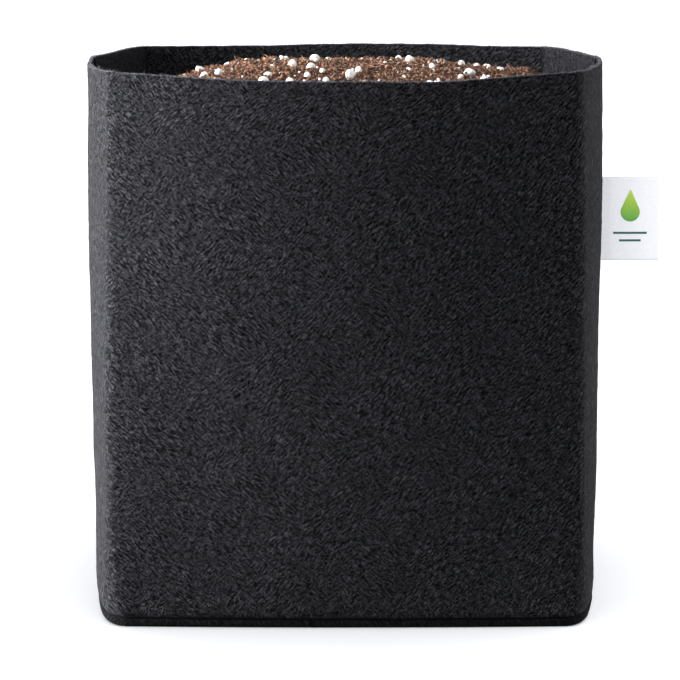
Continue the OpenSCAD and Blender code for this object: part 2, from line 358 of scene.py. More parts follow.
def seam_x(z):
    """How far the felt's outer face stands out at the side seam, at heights z."""
    width, _, _, side = wall_shape(z, 0 * z)
    return width + side


# A corner fold is crisp down to this height above the base seam, and softens below it.
FOLD_SOFT = 45 * MM
# How much further a corner fold reaches round the side than along the front, at the foot.
FOLD_SIDE_EXTRA = 1.1
# The allowances in the side seams are cut back over this height below the rim.
TRIM_HEIGHT = 26 * MM
# How rounded the sides are: at the rim the back halves run almost straight to their folds.
FOOT_ROUND = 2.5
FRONT_ROUND = 2.2
BACK_ROUND = 1.45
# Points along each stretch of a path.
FRONT_COLUMNS = 44
SIDE_COLUMNS = 32
FOLD_COLUMNS = 7
TURN_COLUMNS = 5
FLAP_COLUMNS = 4


def fold_size(z):
    """Half the width of a corner fold: crisp at the rim, and soft where it meets the base."""
    s = sizes()
    return s.fold + (s.foot_corner - s.fold) * np.clip(1 - (z - FOOT_Z) / FOLD_SOFT, 0, 1) ** 1.5


def quarter_path(z, inset, seam_turn=None, back=False):
    """Points in plan from the middle of the front to the middle of the right side, for each
    height z. With seam_turn, the path turns in at the seam and runs along the allowance. Also
    returns how far the rim sags at each point, from 0 to 1."""
    z = np.asarray(z, float)[:, None]
    width, depth, front, side = wall_shape(z, np.asarray(inset, float).reshape(-1, 1))
    fold = fold_size(z)
    reach = 1 - fold / width
    stops = np.linspace(0, 1, FRONT_COLUMNS)[None] * reach
    front_x, front_y = stops * width, -depth - front * (1 - stops**2)
    sag = 1 - stops**2
    end_y = -2 * seam_turn if seam_turn else 0.0
    reach = 1 - fold * (1 + FOLD_SIDE_EXTRA * (1 - rise(z) ** 0.3)) / depth
    stops = reach + (-end_y / depth - reach) * np.linspace(0, 1, SIDE_COLUMNS)[None]
    roundness = FOOT_ROUND + ((BACK_ROUND if back else FRONT_ROUND) - FOOT_ROUND) * rise(z)
    side_x, side_y = width + side * (1 - stops**roundness), -stops * depth
    step = np.linspace(0, 1, FOLD_COLUMNS + 2)[None, 1:-1]
    from_front, to_corner, to_side = (1 - step) ** 2, 2 * step * (1 - step), step**2
    fold_x = from_front * front_x[:, -1:] + to_corner * width + to_side * side_x[:, :1]
    fold_y = from_front * front_y[:, -1:] - to_corner * depth + to_side * side_y[:, :1]
    x, y = [front_x, fold_x, side_x], [front_y, fold_y, side_y]
    if seam_turn:
        angle = np.linspace(0, math.pi / 2, TURN_COLUMNS + 1)[None, 1:]
        x.append(side_x[:, -1:] - seam_turn * (1 - np.cos(angle)))
        y.append(end_y + seam_turn * np.sin(angle) + 0 * z)
        wide = (sizes().allowance - 2 * seam_turn) * np.clip((RIM_Z - z) / TRIM_HEIGHT, 0.1, 1)
        flap = np.linspace(0, 1, FLAP_COLUMNS + 1)[None, 1:] * wide
        x.append(x[-1][:, -1:] - flap)
        y.append(y[-1][:, -1:] + 0 * flap)
    x, y = np.concatenate(x, axis=1), np.concatenate(y, axis=1)
    sag = np.concatenate([sag, np.zeros((len(z), x.shape[1] - FRONT_COLUMNS))], axis=1)
    return x, y, sag


# Radius of the wall's turn into the base seam, the slack left between the felt layers in a
# seam, and the height of the frayed cut edge along the rim, whose lighter colour is partly a
# painted highlight.
FOOT_TURN = 2.2 * MM
SEAM_SLACK = 0.1 * MM
CUT_EDGE = 0.7 * MM


def mirrored(values, sign):
    """A half path turned into a whole one that runs from the left seam to the right one."""
    return np.concatenate([sign * values[:, :0:-1], values], axis=1)


def arc_lengths(x, y):
    steps = np.hypot(np.diff(x, axis=1), np.diff(y, axis=1))
    return np.concatenate([np.zeros((len(x), 1)), np.cumsum(steps, axis=1)], axis=1)


def wall_rows():
    """Heights of the wall's middle rows, and how far each is turned in at the foot. Also
    returns how many rows lie flat in the base seam."""
    s = sizes()
    radius = FOOT_TURN
    low = FOOT_Z + s.felt / 2
    flap_in = np.linspace(s.allowance - s.felt / 2, radius, 5)[:-1]
    angle = np.linspace(0, math.pi / 2, 7)
    rows = [(low, d) for d in flap_in]
    rows += [(low + radius * (1 - math.cos(a)), radius * (1 - math.sin(a))) for a in angle]
    rows += [(z, 0.0) for z in np.linspace(low + radius, FOOT_Z + s.foot_round, 9)[1:]]
    rows += [(z, 0.0) for z in np.linspace(FOOT_Z + s.foot_round, RIM_Z - CUT_EDGE, 84)[1:]]
    rows += [(RIM_Z, 0.0)]
    return np.array(rows).T, len(flap_in)


def wall_middle(front):
    """Middle points of a wall panel, its places on the flat cloth, and its wanted cells."""
    s = sizes()
    (z, turned), foot_rows = wall_rows()
    seam_turn = s.felt / 2 + SEAM_SLACK
    x, y, sag = quarter_path(z, turned + s.felt / 2, seam_turn, not front)
    x, y, sag = mirrored(x, -1), mirrored(y, 1), mirrored(sag, 1)
    height = z[:, None] - (s.rim_sag if front else 0.4 * MM) * rise(z)[:, None] * sag
    middle = np.stack([x, y, height], axis=-1)
    uv = np.stack([arc_lengths(x, y), height], axis=-1)
    keep = np.ones((len(z) - 1, x.shape[1] - 1), bool)
    notch = foot_rows + 3
    keep[:notch, :FLAP_COLUMNS] = False
    keep[:notch, -FLAP_COLUMNS:] = False
    if not front:
        middle = middle[:, ::-1] * np.array([1, -1, 1])
        uv = uv[:, ::-1]
    return middle, uv, keep


# The uneven lie of a filled cloth wall, from broad waves to the dents of the needling: how far
# each stands out and how wide it is. The walls lie a little further in than out.
SWAY = ((0.9 * MM, 75 * MM), (0.45 * MM, 28 * MM), (0.14 * MM, 9 * MM), (0.10 * MM, 4.5 * MM))
SWAY_IN = 0.4 * MM
# The sway fades out over these distances from the base seam and from the side seams.
CALM_FOOT, CALM_SEAM = 30 * MM, 20 * MM


def swayed_wall(front):
    """A wall panel as wall_middle gives it, with its sway, and with a rim that wanders a little
    in height and is ragged along its cut."""
    middle, uv, keep = wall_middle(front)
    seed = 5 if front else 25
    z = middle[..., 2]
    calm = np.clip((z - FOOT_Z) / CALM_FOOT, 0, 1) * np.clip(np.abs(middle[..., 1]) / CALM_SEAM, 0, 1)
    out = sum(far * lumps(middle, wide, seed + k) for k, (far, wide) in enumerate(SWAY)) - SWAY_IN
    moved = middle + grid_normals(middle) * (out * calm)[..., None]
    moved[..., 2] += 0.7 * MM * lumps(middle, 50 * MM, seed + 4) * np.clip((z - 0.2) / 0.1, 0, 1)
    moved[..., 2] += 0.22 * MM * lumps(middle, 4 * MM, seed + 5) * (z > RIM_Z - 6 * MM)
    return moved, uv, keep


# ---- The coir mix's outline and surface ----


# Space between the felt and the mix at the walls.
MIX_GAP = 1.6 * MM


def mix_reach(angle):
    """Distance from the middle to the mix's edge, in each direction from the back, clockwise
    seen from above."""
    s = sizes()
    turn = np.abs(angle)
    reach = []
    for back, from_middle in ((False, math.pi - turn), (True, turn)):
        x, y, _ = quarter_path([RIM_Z - s.mix_drop], [s.felt + MIX_GAP], back=back)
        reach.append(np.interp(from_middle, np.arctan2(x[0], -y[0]), np.hypot(x[0], y[0])))
    return np.where(turn > math.pi / 2, *reach)


# The heap's own shape, from left to right: places across in metres, each with how far the heap
# stands above an even dome there in millimetres. It lies behind the middle, and fades out over
# its depth to the front and the back.
HEAP = (
    (-0.125, 0.0), (-0.105, 0.0), (-0.094, 0.6), (-0.085, 2.8), (-0.073, 1.8), (-0.063, 5.6),
    (-0.05, 4.4), (-0.03, 3.0), (0.0, 2.2), (0.03, 3.0), (0.05, 4.3), (0.061, 3.4),
    (0.068, 2.5), (0.084, 3.6), (0.097, 5.0), (0.107, 7.5), (0.116, 4.5), (0.125, 0.0),
)
HEAP_Y, HEAP_DEPTH = 35 * MM, 60 * MM


def mound_height(x, y):
    """Height of the heaped mix, without its crumbs."""
    share = np.clip(np.hypot(x, y) / mix_reach(np.arctan2(x, y)), 0, 1)
    edge = RIM_Z - sizes().mix_drop
    z = edge + (MIX_HIGH.z - edge) * (1 - share**2)
    heaped = np.interp(x, *zip(*HEAP)) * np.exp(-(((y - HEAP_Y) / HEAP_DEPTH) ** 2))
    return z + MM * (heaped + 1.1 * lumps(np.stack([x, y, 0 * x], -1), 20 * MM, 71) - 0.6)


# ---- Materials ----

# The colour sockets of a Mix node, by number, because several of its sockets share a name.
MIX_A, MIX_B, MIX_RESULT = 6, 7, 2
# A wave texture at a scale of 1 repeats after this many metres.
WAVE_LENGTH = math.pi / 10


def fill(tree, node, inputs):
    """Gives a node's sockets their values, or the outputs that feed them: in the node's own
    order, or by name or number."""
    named = inputs if isinstance(inputs, dict) else dict(enumerate(inputs))
    for name, value in named.items():
        if isinstance(value, bpy.types.NodeSocket):
            tree.links.new(value, node.inputs[name])
        else:
            node.inputs[name].default_value = value


def add_node(tree, kind, inputs=(), output=0, **settings):
    """Adds a node with its inputs and settings, and returns the output that is wanted."""
    made = tree.nodes.new("ShaderNode" + kind)
    for name, value in settings.items():
        setattr(made, name, value)
    fill(tree, made, inputs)
    return made.outputs[output]


def new_material(name):
    material = bpy.data.materials.new(name)
    material.use_nodes = True
    tree = material.node_tree
    return material, tree, tree.nodes["Principled BSDF"]


def rgba(value, factor=1.0):
    return (*(factor * c for c in value), 1.0)


def needled_felt(name, mass, fibre, cut):
    """Needle-punched polyester felt, dyed black. Its web is laid to and fro before it is
    needled, so most tufts of fibre run along one of two diagonals, and the eye sees a matt
    cloth of fine crossing dashes. The tufts are painted paler and the pits between them near
    black, as painted shade in the pits. The fibres are 0.03 mm thick, too fine to show, so
    they are drawn as tufts 0.54 mm wide and 4.4 mm long."""
    material, tree, surface = new_material(name)
    tuft_length, tuft_width = 4.4 * MM, 0.54 * MM
    swirl_size, lay_size, speck_size = 18 * MM, 30 * MM, 1.3 * MM
    flat = {"noise_dimensions": "2D"}
    mix = {"data_type": "RGBA"}
    uv = add_node(tree, "UVMap", uv_map=SHEET_UV)
    # The tufts don't run quite straight.
    swirl = {"Vector": uv, "Scale": 1 / swirl_size, "Detail": 0.0}
    swirl = add_node(tree, "TexNoise", swirl, "Color", **flat)
    swirl = add_node(tree, "VectorMath", (swirl, (0.8 * MM, 0.8 * MM, 0)), operation="MULTIPLY")
    bent = add_node(tree, "VectorMath", (uv, swirl), operation="ADD")
    # One diagonal prevails on one side of the panel, and the other diagonal on the other side.
    lay = add_node(tree, "TexNoise", {"Vector": uv, "Scale": 1 / lay_size, "Detail": 2.0}, **flat)
    along = add_node(tree, "SeparateXYZ", (uv,), "X")
    lay = add_node(tree, "Math", (along, 1.3, lay), operation="MULTIPLY_ADD")
    rising = add_node(tree, "MapRange", (lay, 0.65, 0.9, 0.3, 1.0))
    falling = add_node(tree, "MapRange", (lay, 0.65, 0.9, 1.0, 0.35))
    height = None
    for turn, weight in ((42, rising), (52, rising), (-36, falling), (-45, falling), (2, 0.6)):
        turned = {
            "Vector": bent,
            "Location": (0.0137 * turn, 0.0071 * turn, 0),
            "Rotation": (0, 0, math.radians(turn)),
            "Scale": (tuft_length, tuft_width, 1),
        }
        turned = add_node(tree, "Mapping", turned, vector_type="TEXTURE")
        tuft = add_node(tree, "TexNoise", {"Vector": turned, "Scale": 1.0, "Detail": 0.0}, **flat)
        ridge = add_node(tree, "MapRange", (tuft, 0.58, 0.68))
        ridge = add_node(tree, "Math", (ridge, weight), operation="MULTIPLY")
        height = ridge if height is None else add_node(tree, "Math", (height, ridge), operation="MAXIMUM")
    # Painted shade: the pits between the tufts get the near-black mass colour, and the raised tufts the
    # paler fibre colour.
    share = add_node(tree, "MapRange", (height, 0.12, 0.98))
    tint = add_node(tree, "Mix", {0: share, MIX_A: rgba(mass), MIX_B: rgba(fibre)}, MIX_RESULT, **mix)
    # The cut edge along the rim is painted lighter: frayed fibres, and a painted highlight.
    cut_edge_highlight = add_node(tree, "Attribute", (), "Fac", attribute_name="shade")
    tint = add_node(tree, "Mix", {0: cut_edge_highlight, MIX_A: tint, MIX_B: rgba(cut)}, MIX_RESULT, **mix)
    speck = add_node(tree, "TexNoise", {"Vector": uv, "Scale": 1 / speck_size, "Detail": 1.0}, **flat)
    tone = add_node(tree, "MapRange", (speck, 0.36, 0.66, 0.45, 1.55))
    mix["blend_type"] = "MULTIPLY"
    tint = add_node(tree, "Mix", {0: 1.0, MIX_A: tint, MIX_B: tone}, MIX_RESULT, **mix)
    bump = add_node(tree, "Bump", {"Strength": 1.0, "Distance": 0.9 * MM, "Height": height})
    fill(tree, surface, {
        "Base Color": tint,
        "Normal": bump,
        "Roughness": 0.95,
        "IOR": 1.5,
        "Specular IOR Level": 0.02,
        "Sheen Weight": 0.01,
        "Sheen Roughness": 0.4,
    })
    return material


def felt_strand(name, fibre):
    """Loose polyester fibres on the felt: smooth round filaments, so they glint a little."""
    material, tree, surface = new_material(name)
    shade = add_node(tree, "Attribute", (), "Fac", attribute_name="shade")
    tint = {0: shade, MIX_A: rgba(fibre, 0.8), MIX_B: rgba(fibre, 2.5)}
    tint = add_node(tree, "Mix", tint, MIX_RESULT, data_type="RGBA")
    fill(tree, surface, {"Base Color": tint, "Roughness": 0.65, "IOR": 1.57, "Specular IOR Level": 0.3})
    return material


def spun_thread(name, fibre):
    """Spun polyester sewing thread: two plies twisted together, dull, with a fine slant. The
    crowns of the twist are painted lighter and its grooves darker, as painted highlight and
    shade.
    """
    material, tree, surface = new_material(name)
    place = add_node(tree, "TexCoord", (), "Object")
    twist = {"Vector": place, "Scale": 1 / (1.8 * MM), "Distortion": 1.5}
    twist = add_node(tree, "TexWave", twist, "Fac", bands_direction="DIAGONAL")
    # Painted highlight and shade: lighter on the crowns of the twist, darker in its grooves.
    tint = {0: twist, MIX_A: rgba(fibre, 0.6), MIX_B: rgba(fibre, 2.2)}
    tint = add_node(tree, "Mix", tint, MIX_RESULT, data_type="RGBA")
    bump = add_node(tree, "Bump", {"Strength": 0.6, "Distance": 0.1 * MM, "Height": twist})
    fill(tree, surface, {"Base Color": tint, "Normal": bump, "Roughness": 0.7, "Sheen Weight": 0.2})
    return material


def woven_satin(name, white):
    """White polyester satin ribbon: long floats on the face give a soft lustre, with a faint
    rib. The threads are 0.1 mm apart, too fine to show, so the ribs are drawn 0.9 mm apart."""
    material, tree, surface = new_material(name)
    uv = add_node(tree, "UVMap", uv_map=SHEET_UV)
    rib = {"Vector": uv, "Scale": WAVE_LENGTH / (0.9 * MM), "Distortion": 0.6, "Detail": 2.0}
    rib = add_node(tree, "TexWave", rib, "Fac", bands_direction="Y")
    slub = add_node(tree, "TexNoise", {"Vector": uv, "Scale": 1 / (1.5 * MM), "Detail": 3.0})
    tone = add_node(tree, "MapRange", (slub, 0.3, 0.7, 0.93, 1.0))
    tint = {0: 1.0, MIX_A: rgba(white), MIX_B: tone}
    tint = add_node(tree, "Mix", tint, MIX_RESULT, data_type="RGBA", blend_type="MULTIPLY")
    bump = add_node(tree, "Bump", {"Strength": 0.25, "Distance": 0.08 * MM, "Height": rib})
    fill(tree, surface, {"Base Color": tint, "Normal": bump, "Roughness": 0.5, "Sheen Weight": 0.25})
    return material


def printed_ink(name, low, high, low_z, high_z):
    """Screen-printed ink on ribbon: a thin matt film that keeps some of the weave. It blends
    from one colour at low_z to another at high_z."""
    material, tree, surface = new_material(name)
    place = add_node(tree, "TexCoord", (), "Object")
    up = add_node(tree, "SeparateXYZ", (place,), "Z")
    share = add_node(tree, "MapRange", (up, low_z, high_z))
    tint = {0: share, MIX_A: rgba(low), MIX_B: rgba(high)}
    tint = add_node(tree, "Mix", tint, MIX_RESULT, data_type="RGBA")
    grain = add_node(tree, "TexNoise", {"Vector": place, "Scale": 1 / (0.4 * MM)})
    tone = add_node(tree, "MapRange", (grain, 0.3, 0.7, 0.88, 1.08))
    tint = {0: 1.0, MIX_A: tint, MIX_B: tone}
    tint = add_node(tree, "Mix", tint, MIX_RESULT, data_type="RGBA", blend_type="MULTIPLY")
    bump = add_node(tree, "Bump", {"Strength": 0.2, "Distance": 0.05 * MM, "Height": grain})
    fill(tree, surface, {"Base Color": tint, "Normal": bump, "Roughness": 0.6})
    return material


def packed_coir(name, dark, middle, light):
    """Moist coconut coir, ground and packed: brown crumbs 1 to 3 mm across, with paler dry
    flecks and gaps painted dark between them as painted shade. It is dull, because the
    crumbs are porous."""
    material, tree, surface = new_material(name)
    mix = {"data_type": "RGBA"}
    place = add_node(tree, "TexCoord", (), "Object")
    crumb = add_node(tree, "TexVoronoi", {"Vector": place, "Scale": 1 / (2.2 * MM)})
    grain = {"Vector": place, "Scale": 1 / (1.3 * MM), "Detail": 5.0, "Roughness": 0.7}
    grain = add_node(tree, "TexNoise", grain)
    share = add_node(tree, "MapRange", (grain, 0.36, 0.62))
    tint = add_node(tree, "Mix", {0: share, MIX_A: rgba(dark), MIX_B: rgba(middle)}, MIX_RESULT, **mix)
    each = add_node(tree, "SeparateColor", (crumb.node.outputs["Color"],))
    fleck = add_node(tree, "Math", (each, grain), operation="MULTIPLY")
    fleck = add_node(tree, "MapRange", (fleck, 0.38, 0.6))
    tint = add_node(tree, "Mix", {0: fleck, MIX_A: tint, MIX_B: rgba(light)}, MIX_RESULT, **mix)
    # Painted shade: darker towards the edge of each crumb, in the gaps between them.
    gap = add_node(tree, "MapRange", (crumb, 0.25, 0.75, 0.7, 0.15))
    mix["blend_type"] = "MULTIPLY"
    tint = add_node(tree, "Mix", {0: 1.0, MIX_A: tint, MIX_B: gap}, MIX_RESULT, **mix)
    rough = add_node(tree, "Math", (gap, grain), operation="ADD")
    bump = add_node(tree, "Bump", {"Strength": 1.0, "Distance": 0.8 * MM, "Height": rough})
    fill(tree, surface, {"Base Color": tint, "Normal": bump, "Roughness": 0.9, "Specular IOR Level": 0.1})
    return material


def loose_coir(name, dark, middle, light):
    """Loose crumbs, fibres and husk chips of coconut: each has its own shade, from wet brown to
    dry tan, with a woody streak."""
    material, tree, surface = new_material(name)
    mix = {"data_type": "RGBA"}
    shade = add_node(tree, "Attribute", (), "Fac", attribute_name="shade")
    place = add_node(tree, "TexCoord", (), "Object")
    share = add_node(tree, "MapRange", (shade, 0.0, 0.6))
    tint = add_node(tree, "Mix", {0: share, MIX_A: rgba(dark), MIX_B: rgba(middle)}, MIX_RESULT, **mix)
    share = add_node(tree, "MapRange", (shade, 0.55, 1.0))
    tint = add_node(tree, "Mix", {0: share, MIX_A: tint, MIX_B: rgba(light)}, MIX_RESULT, **mix)
    grain = add_node(tree, "TexNoise", {"Vector": place, "Scale": 1 / (0.7 * MM), "Detail": 4.0})
    tone = add_node(tree, "MapRange", (grain, 0.3, 0.7, 0.7, 1.2))
    mix["blend_type"] = "MULTIPLY"
    tint = add_node(tree, "Mix", {0: 1.0, MIX_A: tint, MIX_B: tone}, MIX_RESULT, **mix)
    bump = add_node(tree, "Bump", {"Strength": 0.8, "Distance": 0.3 * MM, "Height": grain})
    fill(tree, surface, {"Base Color": tint, "Normal": bump, "Roughness": 0.85, "Specular IOR Level": 0.3})
    return material


def expanded_perlite(name, white, dust):
    """Expanded perlite: volcanic glass popped by heat into white froth. It is chalky and pitted
    by bubbles, with a little coir dust in patches, and its pits are painted a little darker
    as painted shade. The bubbles are 0.3 to 0.6 mm across, and are drawn at 0.75 mm, so that
    they show."""
    material, tree, surface = new_material(name)
    place = add_node(tree, "TexCoord", (), "Object")
    bubble = add_node(tree, "TexVoronoi", {"Vector": place, "Scale": 1 / (0.75 * MM)})
    share = add_node(tree, "TexNoise", {"Vector": place, "Scale": 1 / (3 * MM), "Detail": 4.0})
    share = add_node(tree, "MapRange", (share, 0.58, 0.8))
    tint = {0: share, MIX_A: rgba(white), MIX_B: rgba(dust)}
    tint = add_node(tree, "Mix", tint, MIX_RESULT, data_type="RGBA")
    # Painted shade: each bubble pit is painted a little darker towards its middle.
    pit_shade = add_node(tree, "MapRange", (bubble, 0.0, 0.5, 0.86, 1.0))
    tint = {0: 1.0, MIX_A: tint, MIX_B: pit_shade}
    tint = add_node(tree, "Mix", tint, MIX_RESULT, data_type="RGBA", blend_type="MULTIPLY")
    bump = add_node(tree, "Bump", {"Strength": 0.5, "Distance": 0.25 * MM, "Height": bubble})
    fill(tree, surface, {
        "Base Color": tint,
        "Normal": bump,
        "Roughness": 0.85,
        "Subsurface Weight": 0.15,
        "Subsurface Scale": 1.0 * MM,
    })
    return material


def studio_paper(name, white):
    """The top of a light table: matt white paper, lit a little from below, so that almost no
    shadow shows."""
    material, tree, surface = new_material(name)
    place = add_node(tree, "TexCoord", (), "Object")
    tooth = add_node(tree, "TexNoise", {"Vector": place, "Scale": 40.0, "Detail": 3.0})
    tone = add_node(tree, "MapRange", (tooth, 0.3, 0.7, 0.99, 1.0))
    tint = {0: 1.0, MIX_A: rgba(white), MIX_B: tone}
    tint = add_node(tree, "Mix", tint, MIX_RESULT, data_type="RGBA", blend_type="MULTIPLY")
    fill(tree, surface, {
        "Base Color": tint,
        "Roughness": 1.0,
        "Specular IOR Level": 0.0,
        "Emission Color": (1, 1, 1, 1),
        "Emission Strength": 0.12,
    })
    return material


def shared(maker, name, *tints):
    """The material of that name, made the first time that it is asked for."""
    return bpy.data.materials.get(name) or maker(name, *tints)


# ---- Operators: one for each piece, or for each group of like pieces ----


def belongs(piece, body, slot, *nodes):
    """Lets a piece ride on its body, and hides the nodes that it stands for. slot is not used."""
    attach(piece, body)
    if nodes:
        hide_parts(*nodes)


class GROWBAG_OT_walls(bpy.types.Operator):
    """Front and back felt panels, with their folds and the allowances turned in at the seams"""

    bl_idname = "growbag.walls"
    bl_label = "Build Wall Panels"

    def execute(self, context):
        c = colours()
        felt = shared(needled_felt, "black_needled_felt", c.felt, c.felt_fibre, c.felt_cut_and_highlight)
        for name, front in (("front_panel", True), ("back_panel", False)):
            middle, uv, keep = swayed_wall(front)
            thickness = np.full((len(middle), 1), sizes().felt)
            # The cut rim is pinched a little by the blade.
            thickness[-1] *= 0.75
            piece = make_sheet(f"felt_{name}", middle, thickness, felt, uv, keep)
            belongs(piece, "bag", "wall_felt", name)
        return {"FINISHED"}


class GROWBAG_OT_base(bpy.types.Operator):
    """Felt base, with its edge rolled up and turned in as the base seam's allowance"""

    bl_idname = "growbag.base"
    bl_label = "Build Base Panel"

    def execute(self, context):
        s = sizes()
        c = colours()
        roll = s.felt / 2
        # Each row's height, how far it lies in from the outline, and its share of the way out.
        rows = [(roll, s.felt, share) for share in (0.02, 0.2, 0.4, 0.6, 0.75, 0.87, 0.94, 0.98)]
        for angle in np.linspace(-math.pi / 2, math.pi / 2, 9):
            rows.append((s.felt + roll * math.sin(angle), s.felt - roll * math.cos(angle), 1.0))
        rows += [(s.felt + roll, turned, 1.0) for turned in np.linspace(s.felt, s.allowance, 4)[1:]]
        z, inset, share = np.array(rows).T[..., None]
        x, y, _ = quarter_path(np.full(len(rows), FOOT_Z), inset)
        x, y = mirrored(x, -1) * share, mirrored(y, 1) * share
        x = np.concatenate([x, x[:, -2:0:-1]], axis=1)
        y = np.concatenate([y, -y[:, -2:0:-1]], axis=1)
        middle = np.stack([x, y, z + 0 * x], axis=-1)
        # The flat stays true, and the rolled edge wanders a little.
        rolled = slice(9, None)
        wave = 0.25 * MM * lumps(middle, 12 * MM, 41)
        middle[rolled, :, 0] += wave[rolled] * np.sign(x[rolled])
        # The base's fibres and edge are painted darker: pressed felt, and painted shade of the
        # tucked-under base.
        pressed = shared(needled_felt, "pressed_base_felt", c.felt, c.base_fibre_and_shade, c.base_fibre_and_shade)
        uv = np.stack([x, y + z], axis=-1)
        piece = make_sheet("felt_base_panel", middle, s.felt, pressed, uv, ring=True, cap=True)
        belongs(piece, "bag", "base_felt", "base_panel")
        return {"FINISHED"}


# Loose fibres on the face of each wall panel, and along its rim.
FACE_FIBRES = 1800
RIM_FIBRES = 900


class GROWBAG_OT_surface_fibres(bpy.types.Operator):
    """Loose fibres that lie on the felt, and fuzz along the cut rim"""

    bl_idname = "growbag.surface_fibres"
    bl_label = "Build Surface Fibres"

    def execute(self, context):
        draw = np.random.default_rng(17)
        for name, front in (("front", True), ("back", False)):
            middle = swayed_wall(front)[0]
            normals = grid_normals(middle)
            self.strands(draw, f"loose_fibres_{name}", *self.lying(draw, middle, normals))
            self.strands(draw, f"rim_fuzz_{name}", *self.fuzz(draw, middle[-1], normals[-1]))
        return {"FINISHED"}

    def strands(self, draw, name, paths, radius):
        """One piece of many fibres, each with its own shade."""
        material = shared(felt_strand, "loose_polyester_fibre", colours().felt_fibre)
        paths = np.stack(paths, axis=1)
        piece = make_strands(name, paths, radius, material, shade=draw.uniform(0, 1, len(paths)))
        belongs(piece, "bag", "wall_felt")

    def lying(self, draw, middle, normals):
        """Fibres that lie on the outer face along its two diagonals, each bent a little and
        with both ends in the felt."""
        count = FACE_FIBRES
        face = middle + normals * sizes().felt / 2
        rows, cols = face.shape[:2]
        margin = FLAP_COLUMNS + TURN_COLUMNS
        row = draw.integers(12, rows - 2, count)
        col = draw.integers(margin, cols - margin - 1, count)
        part = draw.uniform(0, 1, (2, count, 1))
        root = face[row, col] + part[0] * (face[row, col + 1] - face[row, col])
        root = root + part[1] * (face[row + 1, col] - face[row, col])
        out = normals[row, col]
        side = unit(face[row, col + 1] - face[row, col])
        up = np.cross(out, side)
        turn = np.radians(draw.choice((-42, 46), (count, 1)) + draw.normal(0, 16, (count, 1)))
        along = side * np.cos(turn) + up * np.sin(turn)
        bend = np.cross(out, along) * draw.uniform(-0.15, 0.15, (count, 1))
        size = draw.uniform(1.5, 4.5, (count, 1)) * MM
        lift = draw.uniform(0.02, 0.22, (count, 1)) * MM
        paths = []
        for t in np.linspace(-1, 1, 5):
            height = lift * (1 - t * t) - 0.06 * MM * abs(t)
            paths.append(root + along * size * t + bend * size * t * t + out * height)
        return paths, draw.uniform(0.03, 0.06, count) * MM

    def fuzz(self, draw, rim, normals):
        """Short fibres that stand out of the cut rim."""
        count = RIM_FIBRES
        col = draw.integers(FLAP_COLUMNS, len(rim) - FLAP_COLUMNS - 1, count)
        root = rim[col] + draw.uniform(0, 1, (count, 1)) * (rim[col + 1] - rim[col])
        root = root + normals[col] * draw.uniform(-0.8, 0.8, (count, 1)) * MM
        lean = draw.normal(0, 0.7, (count, 3)) + np.array([0, 0, 0.8])
        curl = draw.normal(0, 0.5, (count, 3))
        size = draw.uniform(0.5, 1.7, (count, 1)) * MM
        stops = (-0.5, 0.1, 0.55, 1.0)
        return [root + unit(lean) * size * t + curl * size * 0.5 * t * t for t in stops], 0.05 * MM


def stitch_path(line, outward):
    """A thread that runs along a line on the felt, a little proud of it for each stitch and down
    through it at each needle hole."""
    s = sizes()
    steps = np.linalg.norm(np.diff(line, axis=0), axis=1)
    at = np.concatenate([[0], np.cumsum(steps)])
    count = max(2, round(at[-1] / s.stitch))
    samples = np.linspace(0, at[-1], count * 8 + 1)
    place = np.stack([np.interp(samples, at, line[:, k]) for k in range(3)], axis=-1)
    out = np.stack([np.interp(samples, at, outward[:, k]) for k in range(3)], axis=-1)
    phase = (samples / at[-1] * count) % 1
    height = s.thread * (0.55 - 1.9 * np.abs(2 * phase - 1) ** 5)
    return place + unit(out) * height[:, None]


class GROWBAG_OT_stitching(bpy.types.Operator):
    """Lockstitched thread of the two side seams and the base seam"""

    bl_idname = "growbag.stitching"
    bl_label = "Build Stitching"

    def execute(self, context):
        s = sizes()
        face = s.felt + SEAM_SLACK
        z = np.linspace(SIDE_STITCH_LOW.z, SIDE_STITCH_HIGH.z, 80)
        for name, hand in (("left", -1), ("right", 1)):
            x = hand * (seam_x(z) - s.allowance / 2)
            lines = [np.stack([x, 0 * z + side * face, z], axis=-1) for side in (-1, 1)]
            self.sewn(f"{name}_seam", lines, ((0, -1, 0), (0, 1, 0)))
        x, y, _ = quarter_path([FOOT_Z], [s.allowance / 2])
        x, y = mirrored(x, -1)[0], mirrored(y, 1)[0]
        x, y = np.concatenate([x, x[-2::-1]]), np.concatenate([y, -y[-2::-1]])
        self.sewn("base_seam", [np.stack([x, y, 0 * x + FOOT_Z + face], axis=-1)], ((0, 0, 1),))
        return {"FINISHED"}

    def sewn(self, seam, lines, directions):
        """Rows of stitches along lines on the felt, whose face looks in the direction given."""
        paths = []
        for line, direction in zip(lines, directions):
            outward = np.broadcast_to(np.array(direction, float), line.shape)
            paths.append(stitch_path(line, outward))
        material = shared(spun_thread, "black_spun_thread", colours().thread)
        piece = make_strands(f"{seam}_thread", paths, sizes().thread / 2, material, sides=6)
        belongs(piece, "bag", "thread", f"{seam}_stitching")


# Half the space between the two layers of the folded ribbon.
RIBBON_GAP = 0.28 * MM
# The thickness of the printed ink, and how far its middle stands off the ribbon. It is drawn
# thicker than real ink, so that it stays clear of the ribbon where the label bends.
INK = 0.14 * MM
INK_LIFT = 0.04 * MM
# The lower of the two printed lines is this share of the upper one's length.
LOWER_LINE = 0.36 / 0.56


def ribbon_lie(x, z):
    """How far the label's ribbon bends to the front or back of its flat lie: it bows a little
    along its length, and turns its free edge a little out of true."""
    out = np.clip((x - HINGE_X) / (LABEL_HIGH.x - HINGE_X), 0, 1)
    up = (z - LABEL_LOW.z) / (LABEL_HIGH.z - LABEL_LOW.z)
    return MM * out * (0.9 * out * np.sin(2.3 * up + 0.4) - 0.4 * np.sin(3.4 * out))


